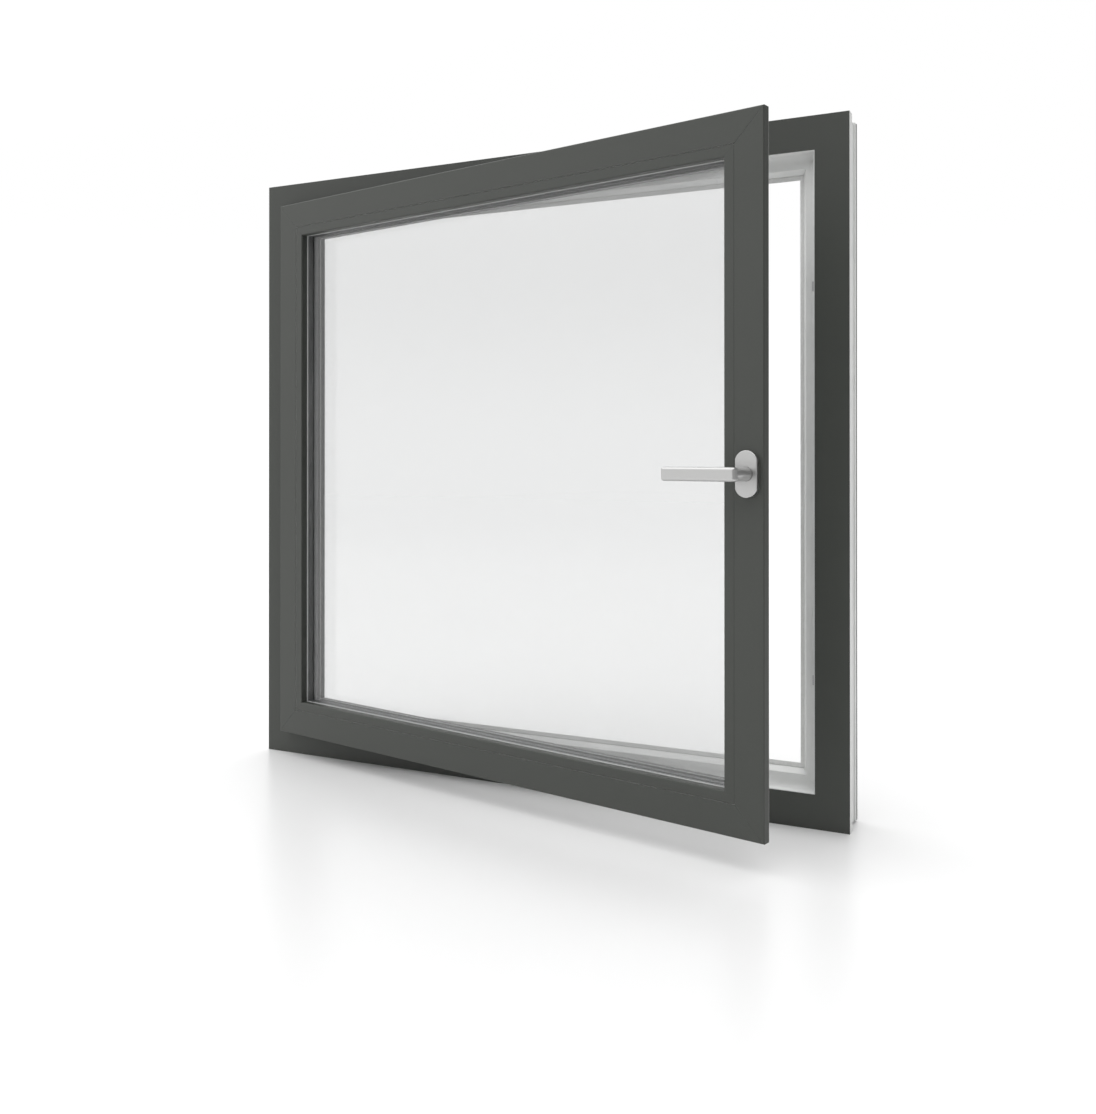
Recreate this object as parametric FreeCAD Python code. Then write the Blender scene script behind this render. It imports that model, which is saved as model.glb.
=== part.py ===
"""Side-hung casement window with an inward-opening sash, a triple-glazed unit and a lever handle.

Millimetres. +X runs from the hinge side to the lock side, +Y from the room to the outside, +Z is up.
The origin is in the middle of the frame's underside, on the strip that the frame stands on.
Profiles are drawn as (inset, depth): the inset runs inwards from a ring's outer edge, and the depth
runs outwards from its room face. The sash is modelled part way open.
"""
import FreeCAD, Part
import math
import os

from FreeCAD import Placement, Rotation, Vector

os.makedirs("parts", exist_ok=True)

# ---- Driving dimensions ---------------------------------------------------------------------------
frame_width = 1200.0
frame_height = 1175.0
frame_depth = 76.0
frame_face = 57.0             # visible width of the frame's room face
standing_strip = 20.0         # depth of the outer strip that the frame stands on
sash_inset = 47.5             # from the frame's outer edge to the closed sash's outer edge
sash_proud = 21.0             # the closed sash's room face stands this far in front of the frame's
sash_depth = 67.5
overlap_width = 21.0          # sash flange that laps over the frame
overlap_depth = 16.2
bead_seam = 49.4              # inset of the joint between the sash face and the glazing beads
sight_line = 67.0             # inset of the glazing beads' inner edge
opening_angle = 11.85         # the modelled rest pose: the sash stands this far open
foil = 0.5                    # decor foil on the room faces
seam_width = 0.7              # fine groove along the sash's mitres
seam_depth = 0.35

# Frame profile
rebate_floor = frame_face
rebate_radius = 15.0
step_inset = 79.0
step_depth = 32.0
seal_inset = 85.5
seal_depth = 51.5
flange_inset = 92.3
clad_start = 65.5
profile_back = 73.5

# Glazing
bead_depth = 14.6
glass_front = 18.0
glass_thickness = 4.0
cavity = 12.0
glass_inset = 53.5
spacer_inset = 57.5
spacer_height = 7.0

# Sash gear
gear_depth = 33.0             # depth of the gear's middle line in the sash
groove_floor = 24.0           # inset of the bottom of the gear groove
faceplate_outer = 18.5
faceplate_width = 16.0
rod_width = 10.0
rod_outer = 21.3
rod_inner = 23.7
module = 1.5
pinion_teeth = 15
pitch_radius = module * pinion_teeth / 2.0
rod_stroke = pitch_radius * math.pi / 2.0
cam_head_radius = 4.2
cam_stem_radius = 2.5
cam_end = 12.2
corner_leg = 70.0
cam_heights = [215.0, 865.0]
cam_lengths = [430.0, 790.0]
plate_screw_heights = [130.0, 330.0, 470.0, 610.0, 750.0, 950.0]
plate_screw_lengths = [300.0, 610.0, 930.0]
plate_screw = {"length": 14.0, "shank": 1.6, "head": 2.9, "head_height": 1.2}
keep_hook = 5.0               # how far a keep's hook stands up from the rebate floor

# Handle
handle_inset = 25.5           # spindle axis from the sash's lock-side edge
handle_reach = 61.0
lever_length = 125.0
lever_height = 21.0
lever_depth = 13.0
neck_radius = 10.5
rosette_half_width = 18.0
rosette_half_height = 35.0
rosette_straight = 22.0
rosette_depth = 8.0
spindle_side = 7.0
rosette_screw_offset = 21.5

# Hinges
pivot_inset = 8.5
pivot_depth = 8.5
pin_radius = 2.5
arm_low = 30.0                # height of the fixed arm above the sash's bottom edge
arm_thickness = 6.0
eye_radius = 4.2

# Wall fixing
anchor_radius = 4.0
anchor_depth = 35.0
anchor_reach = 30.0           # how far a fixing hole goes in from the outer side of a jamb
anchor_end_distance = 200.0

sash_width = frame_width - 2.0 * sash_inset
sash_height = frame_height - 2.0 * sash_inset
handle_height = sash_height / 2.0
room_face_y = -standing_strip / 2.0
glass_back = glass_front + 3.0 * glass_thickness + 2.0 * cavity


# ---- Placing --------------------------------------------------------------------------------------
def in_frame(shape):
    """Move a shape from the frame ring's corner to the part's own frame."""
    moved = shape.copy()
    moved.translate(Vector(-frame_width / 2.0, room_face_y, 0.0))
    return moved


def in_sash(shape):
    """Move a shape from the sash ring's corner to its place in the part, opened to the rest pose."""
    corner = Vector(-frame_width / 2.0 + sash_inset, room_face_y - sash_proud, sash_inset)
    pivot = corner + Vector(pivot_inset, pivot_depth, 0.0)
    moved = shape.copy()
    moved.translate(corner)
    moved.rotate(pivot, Vector(0, 0, 1), -opening_angle)
    return moved


def save(name, solids, place):
    """Write one node's solids, placed, to its own STEP file."""
    placed = [place(solid) for solid in solids]
    shape = placed[0] if len(placed) == 1 else Part.makeCompound(placed)
    shape.exportStep(os.path.join("parts", name + ".step"))


# ---- Profiles and rings ---------------------------------------------------------------------------
def unit(vector):
    return vector * (1.0 / vector.Length)


def outline(points, to_vector):
    """Closed wire through (a, b) points; a third value rounds that corner with an arc."""
    corners = [to_vector(point[0], point[1]) for point in points]
    radii = [point[2] if len(point) > 2 else 0.0 for point in points]
    edges = []
    ends = []
    for index, corner in enumerate(corners):
        before = corners[index - 1]
        after = corners[(index + 1) % len(corners)]
        if radii[index] == 0.0:
            ends.append((corner, corner, None))
            continue
        to_before = unit(before - corner)
        to_after = unit(after - corner)
        half = to_before.getAngle(to_after) / 2.0
        start = corner + to_before * (radii[index] / math.tan(half))
        stop = corner + to_after * (radii[index] / math.tan(half))
        bisector = unit(to_before + to_after)
        middle = corner + bisector * (radii[index] / math.sin(half) - radii[index])
        ends.append((start, stop, Part.Arc(start, middle, stop).toShape()))
    for index, (start, stop, arc) in enumerate(ends):
        if arc:
            edges.append(arc)
        following = ends[(index + 1) % len(ends)][0]
        if (following - stop).Length > 1e-6:
            edges.append(Part.makeLine(stop, following))
    return Part.Wire(edges)


def rectangle(inset, depth, far_inset, far_depth):
    return [(inset, depth), (far_inset, depth), (far_inset, far_depth), (inset, far_depth)]


def bar(points, chambers, length):
    """Straight bar along +X with the given (inset, depth) section and hollow chambers."""
    def to_vector(inset, depth):
        return Vector(0.0, depth, inset)

    body = Part.Face(outline(points, to_vector)).extrude(Vector(length, 0, 0))
    for chamber in chambers:
        hollow = Part.Face(outline(chamber, to_vector)).extrude(Vector(length, 0, 0))
        body = body.cut(hollow)
    return body


def mitred(points, chambers, length, gap=0.0):
    """The bar cut at 45 degrees at both ends, so that four of them make a ring."""
    reach = 130.0
    body = bar(points, chambers, length)
    corners = [(gap, 0), (length - gap, 0), (length - gap - reach, reach), (gap + reach, reach)]
    prism = Part.Face(outline(corners, lambda x, z: Vector(x, -50.0, z))).extrude(Vector(0, 300.0, 0))
    return body.common(prism).Solids[0]


def square_cut(points, chambers, length, end):
    """The bar cut square, this far short of both corners."""
    body = bar(points, chambers, length - 2.0 * end)
    body.translate(Vector(end, 0, 0))
    return body


def onto_side(member, side, width, height):
    """Turn a bottom member onto one side of a width by height ring."""
    turned = member.copy()
    if side == "top":
        turned.rotate(Vector(), Vector(0, 1, 0), 180)
        turned.translate(Vector(width, 0, height))
    if side == "lock":
        turned.rotate(Vector(), Vector(0, 1, 0), -90)
        turned.translate(Vector(width, 0, 0))
    if side == "hinge":
        turned.rotate(Vector(), Vector(0, 1, 0), 90)
        turned.translate(Vector(0, 0, height))
    return turned


sides = ["bottom", "lock", "top", "hinge"]


def ring(points, width, height, chambers=(), make=mitred, extra=0.0):
    """Four members around a ring, by side name."""
    members = {}
    for side in sides:
        length = width if side in ("bottom", "top") else height
        members[side] = onto_side(make(points, chambers, length, extra), side, width, height)
    return members


def frame_ring(points, chambers=(), make=mitred, extra=0.0):
    return ring(points, frame_width, frame_height, chambers, make, extra)


def sash_ring(points, chambers=(), make=mitred, extra=0.0):
    return ring(points, sash_width, sash_height, chambers, make, extra)


def box(low, high):
    size = Vector(*high) - Vector(*low)
    return Part.makeBox(size.x, size.y, size.z, Vector(*low))


def rod(radius, start, axis, length):
    return Part.makeCylinder(radius, length, Vector(*start), Vector(*axis))


def flat_plate(points, low, high):
    """Plate from an (x, y) outline between two heights."""
    face = Part.Face(outline(points, lambda x, y: Vector(x, y, low)))
    return face.extrude(Vector(0, 0, high - low))


def screw(start, axis, length, shank=2.0, head=4.0, head_height=2.2):
    """Pan-head screw with a hexagon socket. start is the seat of the head, axis points into the work."""
    direction = unit(Vector(*axis))
    seat = Vector(*start)
    cap = Part.makeCylinder(head, head_height, seat - direction * head_height, direction)
    shaft = Part.makeCylinder(shank, length, seat, direction)
    body = cap.fuse(shaft)
    across = head * 0.52
    angles = [k * math.pi / 3 for k in range(7)]
    hexagon = [Vector(across * math.cos(angle), across * math.sin(angle), 0) for angle in angles]
    socket = Part.Face(Part.makePolygon(hexagon)).extrude(Vector(0, 0, head_height * 0.6))
    socket.Placement = Placement(seat - direction * head_height, Rotation(Vector(0, 0, 1), direction))
    return body.cut(socket).removeSplitter().Solids[0]


def bored(solid, tools):
    """The solid with every tool that reaches it cut away."""
    for tool in tools:
        if solid.BoundBox.intersect(tool.BoundBox):
            solid = solid.cut(tool)
    return max(solid.Solids, key=lambda piece: piece.Volume)


def mirrored_height(shape):
    """The same shape at the sash's other end, upside down, without mirroring its solid."""
    return shape.mirror(Vector(0, 0, sash_height / 2.0), Vector(0, 0, 1))


# ---- Frame profile sections -----------------------------------------------------------------------
flange_toe = 84.5
lip_inset = frame_face + 1.4
frame_core = [
    (0.0, foil), (frame_face, foil), (lip_inset, foil + 0.5), (lip_inset, 3.0), (frame_face, 4.2),
    (rebate_floor, step_depth, rebate_radius), (step_inset, step_depth, 1.5), (seal_inset, 46.0, 0.8),
    (seal_inset, seal_depth), (flange_inset, seal_depth, 0.8), (88.3, clad_start), (86.8, clad_start),
    (flange_toe, profile_back), (5.3, profile_back), (5.3, 69.0), (3.5, 69.0), (3.5, 60.0),
    (5.5, 60.0), (5.5, standing_strip), (0.0, standing_strip),
]
frame_chambers = [
    rectangle(3.5, 3.5, 54.0, 13.5), rectangle(9.0, 17.0, 54.0, 46.0), rectangle(58.0, 35.5, 76.0, 46.0),
    rectangle(9.0, 49.5, 44.0, 70.5), rectangle(47.0, 54.5, 81.0, 70.5),
]
frame_steel = rectangle(9.6, 17.6, 50.0, 45.4)
frame_steel_hollow = rectangle(11.1, 19.1, 48.5, 43.9)
frame_foil_section = rectangle(0.0, 0.0, frame_face, foil)
frame_seal_section = [
    (seal_inset + 0.1, seal_depth), (seal_inset + 0.1, 47.0, 0.5), (87.2, 46.9, 0.6),
    (93.0, 50.2, 0.5), (93.0, seal_depth),
]
frame_clad_section = [
    (3.2, 69.2), (3.2, frame_depth, 1.2), (85.4, frame_depth, 1.2), (88.2, clad_start + 0.3),
    (87.0, clad_start + 0.3), (flange_toe + 0.2, profile_back + 0.2), (5.1, profile_back + 0.2), (5.1, 69.2),
]

# ---- Sash profile sections ------------------------------------------------------------------------
sash_back = 65.3
rebate_back = 57.0
back_inset = 41.0
sash_core = [
    (foil, foil, 1.2), (bead_seam - 0.2, foil), (bead_seam - 0.2, rebate_back), (65.0, rebate_back),
    (65.0, sash_back), (back_inset + 1.7, sash_back), (back_inset + 1.7, 61.2), (back_inset, 61.2),
    (back_inset, 51.0, 3.0), (overlap_width, 44.0, 2.0), (overlap_width, gear_depth + 6.0),
    (groove_floor, gear_depth + 6.0), (groove_floor, gear_depth - 6.0), (overlap_width, gear_depth - 6.0),
    (overlap_width, overlap_depth), (foil, overlap_depth, 0.6),
]
sash_chambers = [
    rectangle(4.0, 4.0, 46.0, 13.0), rectangle(27.0, 16.0, 46.0, 43.0), rectangle(45.0, 59.8, 62.0, 62.6),
]
sash_steel = [
    (27.6, 16.6), (45.4, 16.6), (45.4, 42.4), (27.6, 42.4),
    (27.6, 40.9), (43.9, 40.9), (43.9, 18.1), (27.6, 18.1),
]
foil_edge = 15.0
sash_foil_section = [
    (0.0, 0.0, 1.7), (bead_seam - 0.2, 0.0, 0.3), (bead_seam - 0.2, foil),
    (foil, foil, 1.2), (foil, foil_edge), (0.0, foil_edge),
]
sash_clad_section = [
    (back_inset, 61.5), (back_inset, sash_depth, 1.2), (sight_line, sash_depth, 1.2),
    (sight_line, rebate_back + 0.2, 0.6), (65.2, rebate_back + 0.2), (65.2, sash_back + 0.2),
    (back_inset + 1.5, sash_back + 0.2), (back_inset + 1.5, 61.5),
]
overlap_seal_section = [
    (0.8, overlap_depth), (0.8, 17.3, 0.4), (5.6, 17.3), (6.4, 20.2, 0.6), (8.8, 20.2, 0.6), (10.0, 17.3),
    (11.5, 17.3), (11.5, overlap_depth),
]
bead_start = bead_seam + 0.1
bead_section = [
    (bead_start, 0.4, 0.5), (sight_line, 0.4, 2.5),
    (sight_line, bead_depth, 0.5), (bead_start, bead_depth),
]
bead_chamber = [rectangle(52.5, 3.0, 64.0, 11.8)]
seal_edge = sight_line + 0.2
bead_seal_section = [
    (60.0, bead_depth), (seal_edge, bead_depth, 0.5), (seal_edge, glass_front, 0.8), (60.0, glass_front),
]
outer_seal_section = [
    (58.0, glass_back), (seal_edge, glass_back, 0.8), (seal_edge, rebate_back, 0.5), (58.0, rebate_back),
]

# ---- Rings ----------------------------------------------------------------------------------------
frame_members = frame_ring(frame_core, frame_chambers)
frame_foils = frame_ring(frame_foil_section)
frame_steels = frame_ring(frame_steel, [frame_steel_hollow], square_cut, 56.0)
frame_seals = frame_ring(frame_seal_section)
frame_clads = frame_ring(frame_clad_section)

sash_members = sash_ring(sash_core, sash_chambers)
sash_foils = sash_ring(sash_foil_section)
sash_steels = sash_ring(sash_steel, (), square_cut, 52.0)
sash_clads = sash_ring(sash_clad_section)
overlap_seals = sash_ring(overlap_seal_section)
beads = sash_ring(bead_section, bead_chamber, extra=0.12)
bead_seals = sash_ring(bead_seal_section)
outer_seals = sash_ring(outer_seal_section)



def mitre_groove(corner, along):
    """Tool for the fine V-shaped groove along one mitre of the sash face."""
    across = Vector(along.z, 0, -along.x)
    apex = corner + Vector(0, seam_depth, 0)
    low = corner - Vector(0, seam_depth, 0)
    triangle = Part.makePolygon([apex, low + across * seam_width, low - across * seam_width, apex])
    return Part.Face(triangle).extrude(along * bead_seam * 1.5)


ring_corners = [Vector(x, 0, z) for x in (0.0, sash_width) for z in (0.0, sash_height)]
ring_middle = Vector(sash_width / 2.0, 0, sash_height / 2.0)


def inwards(corner):
    """Direction of the mitre at a corner, towards the middle of the sash."""
    towards = ring_middle - corner
    return unit(Vector(math.copysign(1.0, towards.x), 0, math.copysign(1.0, towards.z)))


mitre_grooves = [mitre_groove(corner, inwards(corner)) for corner in ring_corners]


# ---- Glass unit -----------------------------------------------------------------------------------
def pane(depth):
    far = (sash_width - glass_inset, depth + glass_thickness, sash_height - glass_inset)
    return box((glass_inset, depth, glass_inset), far)


def spacer_ring(depth):
    """Hollow spacer bars between two panes."""
    wall = 0.8
    top = spacer_inset + spacer_height
    section = rectangle(spacer_inset, depth, top, depth + cavity)
    hollow = rectangle(spacer_inset + wall, depth + wall, top - wall, depth + cavity - wall)
    return list(sash_ring(section, [hollow]).values())


def sealant_ring(depth):
    return list(sash_ring(rectangle(glass_inset, depth, spacer_inset, depth + cavity)).values())


pane_depths = [glass_front + k * (glass_thickness + cavity) for k in range(3)]
cavity_depths = [depth + glass_thickness for depth in pane_depths[:2]]

block_length = 90.0
block_end = 110.0


def glazing_blocks():
    """Two packers on each side carry the glass unit clear of the sash."""
    blocks = []
    section = rectangle(bead_seam - 0.2, glass_front, glass_inset, glass_back)
    for side, member in sash_ring(section, make=square_cut, extra=block_end).items():
        length = sash_width if side in ("bottom", "top") else sash_height
        middle = length / 2.0 - block_end - block_length
        gap = square_cut(rectangle(0.0, 0.0, 60.0, 60.0), (), length, length / 2.0 - middle)
        blocks += member.cut(onto_side(gap, side, sash_width, sash_height)).Solids
    return blocks


# ---- Hinges ---------------------------------------------------------------------------------------
# The fixed brackets are drawn in the sash's closed coordinates and then moved with the frame.
frame_floor_x = rebate_floor - sash_inset          # the frame's rebate floor, seen from the sash's edge
frame_face_y = sash_proud                          # the frame's room face, seen from the sash's face
bracket_wall = 2.8
bracket_low = arm_low - 16.0
bracket_high = arm_low + 90.0
knuckle_low = arm_low + arm_thickness + 0.6
knuckle_high = knuckle_low + 48.0
leaf_high = knuckle_low + 96.0
arm_top = arm_low + arm_thickness
hinge_screw = {"shank": 2.0, "head": 3.6, "head_height": 2.0}


def closed_to_frame(shape):
    """Move a shape from the closed sash's corner to the frame ring's corner."""
    moved = shape.copy()
    moved.translate(Vector(sash_inset, -sash_proud, sash_inset))
    return moved


def fixed_bracket():
    """Angle bracket: a plate on the jamb's rebate floor and a cranked arm out to the pivot."""
    front = frame_face_y + 4.6
    back = frame_face_y + 16.4
    past_lip = frame_floor_x + 1.9
    arm_side = 19.6
    plate = box((frame_floor_x, front, bracket_low), (frame_floor_x + bracket_wall, back, bracket_high))
    arm = [
        (pivot_inset - eye_radius, pivot_depth), (pivot_inset - 1.0, frame_face_y - 4.5, 2.0),
        (past_lip, frame_face_y - 0.6, 2.0), (past_lip, frame_face_y + 4.4), (frame_floor_x, front),
        (frame_floor_x, back), (arm_side, back, 3.0), (arm_side, frame_face_y - 5.0, 5.0),
        (pivot_inset + eye_radius, pivot_depth),
    ]
    eye = rod(eye_radius, (pivot_inset, pivot_depth, arm_low), (0, 0, 1), arm_thickness)
    body = plate.fuse(flat_plate(arm, arm_low, arm_top)).fuse(eye)
    bore = rod(pin_radius, (pivot_inset, pivot_depth, arm_low - 1.0), (0, 0, 1), arm_thickness + 2.0)
    return body.cut(bore).removeSplitter().Solids[0]


def pivot_pin():
    head_height = 1.6
    foot = (pivot_inset, pivot_depth, arm_low - head_height)
    shank = rod(pin_radius, foot, (0, 0, 1), knuckle_high - arm_low - 3.0)
    head = rod(pin_radius + 1.2, foot, (0, 0, 1), head_height)
    return shank.fuse(head).removeSplitter().Solids[0]


def bracket_screws():
    heights = [arm_low + 24.0, arm_low + 50.0, arm_low + 76.0]
    seat = frame_floor_x + bracket_wall
    return [screw((seat, frame_face_y + 10.5, z), (-1, 0, 0), 16.0, **hinge_screw) for z in heights]


def sash_knuckle():
    """Sash half of the hinge: a bored block in the overlap and a leaf on the side of the sash."""
    block = box((4.3, 4.4, knuckle_low), (18.4, 12.6, knuckle_high))
    leaf = box((18.4, 4.4, knuckle_low), (20.9, 39.0, leaf_high))
    body = block.fuse(leaf)
    depth = knuckle_high - knuckle_low + 0.2
    bore = rod(pin_radius + 0.05, (pivot_inset, pivot_depth, knuckle_low - 1.0), (0, 0, 1), depth)
    return body.cut(bore).removeSplitter().Solids[0]


def knuckle_screws():
    places = [(31.0, knuckle_low + 22.0), (31.0, knuckle_low + 62.0), (24.0, knuckle_low + 84.0)]
    return [screw((18.4, depth, z), (1, 0, 0), 12.0, **hinge_screw) for depth, z in places]


hinge_pocket = box((-1.0, 4.1, arm_low - 2.4), (overlap_width, 22.0, leaf_high + 0.5))
both_ends = [lambda shape: shape, mirrored_height]
hinge_brackets = [closed_to_frame(end(fixed_bracket())) for end in both_ends]
hinge_pins = [closed_to_frame(end(pivot_pin())) for end in both_ends]
bracket_fixings = bracket_screws()
hinge_bracket_screws = [closed_to_frame(end(piece)) for end in both_ends for piece in bracket_fixings]
hinge_knuckles = [end(sash_knuckle()) for end in both_ends]
hinge_knuckle_screws = [end(piece) for end in both_ends for piece in knuckle_screws()]
hinge_pockets = [end(hinge_pocket) for end in both_ends]


# ---- Sash gear ------------------------------------------------------------------------------------
gear_x = sash_width - handle_inset
groove_x = sash_width - groove_floor
case_low = handle_height - 44.0
case_high = handle_height + 44.0
case_x = sash_width - 43.4
case_front = gear_depth - 6.9
case_back = gear_depth + 6.9
case_wall = 1.5
slider_front = gear_depth - 3.5
slider_back = gear_depth + 3.5
upper_web = handle_height + 32.0
lower_web = handle_height - 22.0
web_height = 7.0
hub_radius = 6.0
addendum = 1.2
dedendum = 1.55
pressure_angle = math.radians(20.0)
backlash = 0.12


def involute_tooth(middle_angle):
    """Points of one gear tooth, root to root, about the pinion's axis."""
    base = pitch_radius * math.cos(pressure_angle)
    tip = pitch_radius + addendum
    root = pitch_radius - dedendum

    def roll(radius):
        return math.sqrt(max((radius / base) ** 2 - 1.0, 0.0))

    def involute(radius):
        return roll(radius) - math.atan(roll(radius))

    half_pitch = math.pi / (2.0 * pinion_teeth) - backlash / pitch_radius
    radii = [base + (tip - base) * k / 6.0 for k in range(7)]
    offsets = [half_pitch + involute(pitch_radius) - involute(radius) for radius in radii]
    rising = [(root, middle_angle - offsets[0])]
    rising += [(radius, middle_angle - offset) for radius, offset in zip(radii, offsets)]
    return rising + [(radius, 2.0 * middle_angle - angle) for radius, angle in reversed(rising)]


def drive_pinion():
    """Toothed sector on a square-bored hub. Angles run from the inner side upwards as seen from the room."""
    pitch_step = 2.0 * math.pi / pinion_teeth
    polar = []
    for k in range(5):
        polar += involute_tooth((k - 0.5) * pitch_step)
    points = [Vector(-r * math.cos(a), 0.0, r * math.sin(a)) for r, a in polar]
    centre = Vector(gear_x, gear_depth - 2.5, handle_height)
    corners = [Vector()] + points + [Vector()]
    sector = Part.Face(Part.makePolygon(corners)).extrude(Vector(0, 5.0, 0))
    sector.translate(centre)
    hub = rod(hub_radius, (gear_x, case_front + 0.1, handle_height), (0, 1, 0), case_back - case_front - 0.2)
    half = spindle_side / 2.0 + 0.02
    square = box((gear_x - half, 0.0, handle_height - half), (gear_x + half, 60.0, handle_height + half))
    return sector.fuse(hub).cut(square).removeSplitter().Solids[0]


def rack_bar():
    """Rack on the inner side of the pinion."""
    pitch = math.pi * module
    line = gear_x - pitch_radius
    tip = line + addendum
    root = line - dedendum
    back = sash_width - 41.5
    half_tip = pitch / 4.0 - addendum * math.tan(pressure_angle) - backlash / 2.0
    half_root = pitch / 4.0 + dedendum * math.tan(pressure_angle) - backlash / 2.0
    low = lower_web
    high = upper_web + web_height
    points = [(back, low), (root, low)]
    for k in range(-2, 7):
        middle = handle_height + k * pitch
        points += [(root, middle - half_root), (tip, middle - half_tip)]
        points += [(tip, middle + half_tip), (root, middle + half_root)]
    points += [(root, high), (back, high)]
    face = Part.Face(outline(points, lambda x, z: Vector(x, slider_front, z)))
    return face.extrude(Vector(0, slider_back - slider_front, 0))


rod_front = gear_depth - rod_width / 2.0
rod_back = gear_depth + rod_width / 2.0
rod_end = corner_leg + 22.0


def lock_side_rod():
    """Upper and lower drive rods, joined past the pinion by the rack and its two webs."""
    low_x = sash_width - rod_inner
    high_x = sash_width - rod_outer
    upper = box((low_x, rod_front, handle_height + 26.0), (high_x, rod_back, sash_height - rod_end))
    lower = box((low_x, rod_front, rod_end), (high_x, rod_back, handle_height - 8.0))
    body = rack_bar().fuse(upper).fuse(lower)
    for low in (lower_web, upper_web):
        web = box((sash_width - 39.0, slider_front, low), (low_x + 0.5, slider_back, low + web_height))
        body = body.fuse(web)
    return body.removeSplitter().Solids[0]


def cam(place, axis):
    """Mushroom locking cam that stands on a drive rod; axis points from the rod to the frame."""
    foot = Vector(*place)
    stem_length = rod_outer - cam_end
    direction = Vector(*axis)
    stem = Part.makeCylinder(cam_stem_radius, stem_length, foot, direction)
    head = Part.makeCylinder(cam_head_radius, 1.8, foot + direction * (stem_length - 1.8), direction)
    return stem.fuse(head).removeSplitter().Solids[0]


lock_cams = [cam((sash_width - rod_outer, gear_depth, z), (1, 0, 0)) for z in cam_heights]
top_cams = [cam((x, gear_depth, sash_height - rod_outer), (0, 0, 1)) for x in cam_lengths]
bottom_cams = [cam((x, gear_depth, rod_outer), (0, 0, -1)) for x in cam_lengths]

rail_rod_start = 330.0
rail_rod_stop = sash_width - rod_end
top_rod_low = (rail_rod_start, rod_front, sash_height - rod_inner)
top_rod = box(top_rod_low, (rail_rod_stop, rod_back, sash_height - rod_outer))
bottom_rod = box((rail_rod_start, rod_front, rod_outer), (rail_rod_stop, rod_back, rod_inner))

plate_front = gear_depth - faceplate_width / 2.0
plate_back = gear_depth + faceplate_width / 2.0
slot_slack = 1.2
travel = rod_stroke


def cam_slot(low, high, side):
    """Clearance slot for a cam stem on one side of the sash: low and high are the ends of its travel."""
    wide = cam_stem_radius + 0.6
    deep = 30.0
    front = gear_depth - wide
    back = gear_depth + wide
    if side == "lock":
        return box((sash_width - deep, front, low - wide), (sash_width, back, high + wide))
    bottom = 0.0 if side == "bottom" else sash_height - deep
    return box((low - wide, front, bottom), (high + wide, back, bottom + deep))


cam_slots = [cam_slot(z - travel - slot_slack, z + slot_slack, "lock") for z in cam_heights]
cam_slots += [cam_slot(x - slot_slack, x + travel + slot_slack, "top") for x in cam_lengths]
cam_slots += [cam_slot(x - travel - slot_slack, x + slot_slack, "bottom") for x in cam_lengths]
window_low = (sash_width - 30.0, plate_front + 1.0, handle_height - 9.0)
hub_window = box(window_low, (sash_width, plate_back - 1.0, handle_height + 9.0))
spindle_sweep = rod(5.3, (gear_x, 0.0, handle_height), (0, 1, 0), gear_depth)

plate_end = corner_leg + 0.6
plate_x = sash_width - faceplate_outer
plate_z = sash_height - faceplate_outer
plate_stop = sash_width - plate_end
lock_plate_low = (sash_width - overlap_width, plate_front, plate_end)
lock_plate = box(lock_plate_low, (plate_x, plate_back, sash_height - plate_end))
rail_plate_start = 250.0
top_plate = box((rail_plate_start, plate_front, sash_height - overlap_width), (plate_stop, plate_back, plate_z))
bottom_plate = box((rail_plate_start, plate_front, faceplate_outer), (plate_stop, plate_back, overlap_width))


def corner_drive():
    """Bent steel strip around the lower lock-side corner."""
    outer = sash_width - faceplate_outer
    inner = sash_width - overlap_width
    points = [
        (sash_width - corner_leg, faceplate_outer), (outer, faceplate_outer, 2.0), (outer, corner_leg),
        (inner, corner_leg), (inner, overlap_width), (sash_width - corner_leg, overlap_width),
    ]
    face = Part.Face(outline(points, lambda x, z: Vector(x, plate_front, z)))
    return face.extrude(Vector(0, faceplate_width, 0))


corner_drives = [end(corner_drive()) for end in both_ends]


def plate_screws():
    """Screws through the faceplates and corner drives into the sash."""
    pieces = []
    seat = sash_width - faceplate_outer
    from_end = corner_leg - 12.0
    for z in plate_screw_heights:
        pieces.append(screw((seat, gear_depth, z), (-1, 0, 0), **plate_screw))
    for x in plate_screw_lengths:
        pieces.append(screw((x, gear_depth, sash_height - faceplate_outer), (0, 0, -1), **plate_screw))
        pieces.append(screw((x, gear_depth, faceplate_outer), (0, 0, 1), **plate_screw))
    for end in both_ends:
        pieces.append(end(screw((seat, gear_depth, from_end), (-1, 0, 0), **plate_screw)))
        rail_seat = (sash_width - from_end, gear_depth, faceplate_outer)
        pieces.append(end(screw(rail_seat, (0, 0, 1), **plate_screw)))
    return pieces


def rod_screw_slots():
    """The rods slide past the faceplate screws, so they have slots there."""
    wide = 2.1
    end = wide + 0.5
    front = gear_depth - wide
    back = gear_depth + wide
    outer = 20.0
    inner = 26.0
    slots = []
    for z in plate_screw_heights:
        slots.append(box((sash_width - inner, front, z - end), (sash_width - outer, back, z + travel + end)))
    for x in plate_screw_lengths[1:]:
        top_low = (x - travel - end, front, sash_height - inner)
        slots.append(box(top_low, (x + end, back, sash_height - outer)))
        slots.append(box((x - end, front, outer), (x + travel + end, back, inner)))
    return slots


# ---- Gearbox --------------------------------------------------------------------------------------
lug_low = handle_height - 9.0
lug_high = handle_height + 9.0
lug_end = sash_width - overlap_width - 0.2


def gearbox_case():
    """Open tray behind the handle; the hub turns in its floor."""
    outer = box((case_x, case_front, case_low), (groove_x - 0.3, case_back - case_wall - 0.02, case_high))
    floor = case_front + case_wall
    inner = box((case_x + case_wall, floor, case_low + case_wall), (sash_width, 80.0, case_high - case_wall))
    lug = box((groove_x - 1.0, case_front, lug_low), (lug_end, floor, lug_high))
    return outer.cut(inner).fuse(lug).removeSplitter()


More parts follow.
